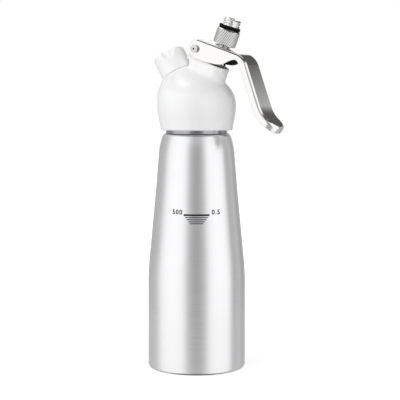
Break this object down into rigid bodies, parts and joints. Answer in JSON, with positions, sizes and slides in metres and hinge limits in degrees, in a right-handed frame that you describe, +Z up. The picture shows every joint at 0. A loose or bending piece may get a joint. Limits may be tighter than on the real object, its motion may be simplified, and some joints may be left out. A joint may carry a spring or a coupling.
{
  "type": "whipped cream dispenser",
  "caption": "Whipped cream dispenser: tapered metal bottle, screw-on domed plastic head, press lever over a sprung hollow valve stem with a nozzle adapter, and a capped inlet for a gas charger.",
  "frame": {"origin": "centre of the bottle's base, on the surface that it stands on", "axes": "+Z up along the bottle's axis, +X towards the lever's handle, +Y completing a right-handed frame"},
  "size_m": [0.1149, 0.0772, 0.2775],
  "materials": {
    "brushed_aluminium": "brushed",
    "white_plastic": "glossy",
    "polished_steel": "polished",
    "turned_steel": "turned",
    "spring_steel": "drawn wire",
    "black_rubber": "matte",
    "pale_silicone": "matte",
    "grey_polymer": "matte",
    "printed_ink": "printed"
  },
  "bodies": {
    "bottle_body": {"bottle": "brushed_aluminium"},
    "seal_body": {"head_gasket": "pale_silicone"},
    "head_body": {"head": "white_plastic", "lever_pin": "turned_steel", "pin_retainer": "turned_steel", "guide_bush": "grey_polymer", "stem_seal_ring": "black_rubber", "return_spring": "spring_steel", "inlet_fitting": "turned_steel", "piercing_pin": "turned_steel", "inlet_gasket": "black_rubber", "check_valve": "black_rubber"},
    "lever_body": {"lever": "polished_steel"},
    "stem_body": {"valve_stem": "turned_steel", "thrust_washer": "polished_steel", "valve_seal": "black_rubber", "valve_disc": "turned_steel", "valve_nut": "turned_steel", "nozzle_adapter": "turned_steel", "adapter_o_ring": "black_rubber"},
    "liner_body": {"cap_liner": "pale_silicone"},
    "cap_body": {"port_cap": "white_plastic"}
  },
  "joints": [
    {"name": "head_lift", "type": "slide", "parent": "bottle_body", "child": "seal_body", "axis": [0, 0, 1], "range_m": [0, 0.01101]},
    {"name": "head_turn", "type": "hinge", "parent": "seal_body", "child": "head_body", "pos_m": [0, 0, 0.189], "axis": [0, 0, 1], "range_deg": [0, 990]},
    {"name": "lever_press", "type": "hinge", "parent": "head_body", "child": "lever_body", "pos_m": [0.0051, 0, 0.25241], "axis": [0, 1, 0], "range_deg": [0, 9.5], "stiffness_Nm_per_rad": 1, "springref_deg": -11.46},
    {"name": "stem_slide", "type": "slide", "parent": "head_body", "child": "stem_body", "axis": [-0.3746, 0, -0.9272], "range_m": [0, 0.00295], "deforming": ["return_spring"]},
    {"name": "cap_lift", "type": "slide", "parent": "head_body", "child": "liner_body", "axis": [-0.5, 0, 0.866], "range_m": [0, 0.00751]},
    {"name": "cap_turn", "type": "hinge", "parent": "liner_body", "child": "cap_body", "pos_m": [0, 0, 0.2039], "axis": [-0.5, 0, 0.866], "range_deg": [0, 900]}
  ],
  "couplings": [
    {"joint": "head_lift", "follows": "head_turn", "m_per_rad": 0.00063662},
    {"joint": "cap_lift", "follows": "cap_turn", "m_per_rad": 0.00047746},
    {"joint": "stem_slide", "follows": "lever_press", "m_per_rad": 0.0176}
  ]
}
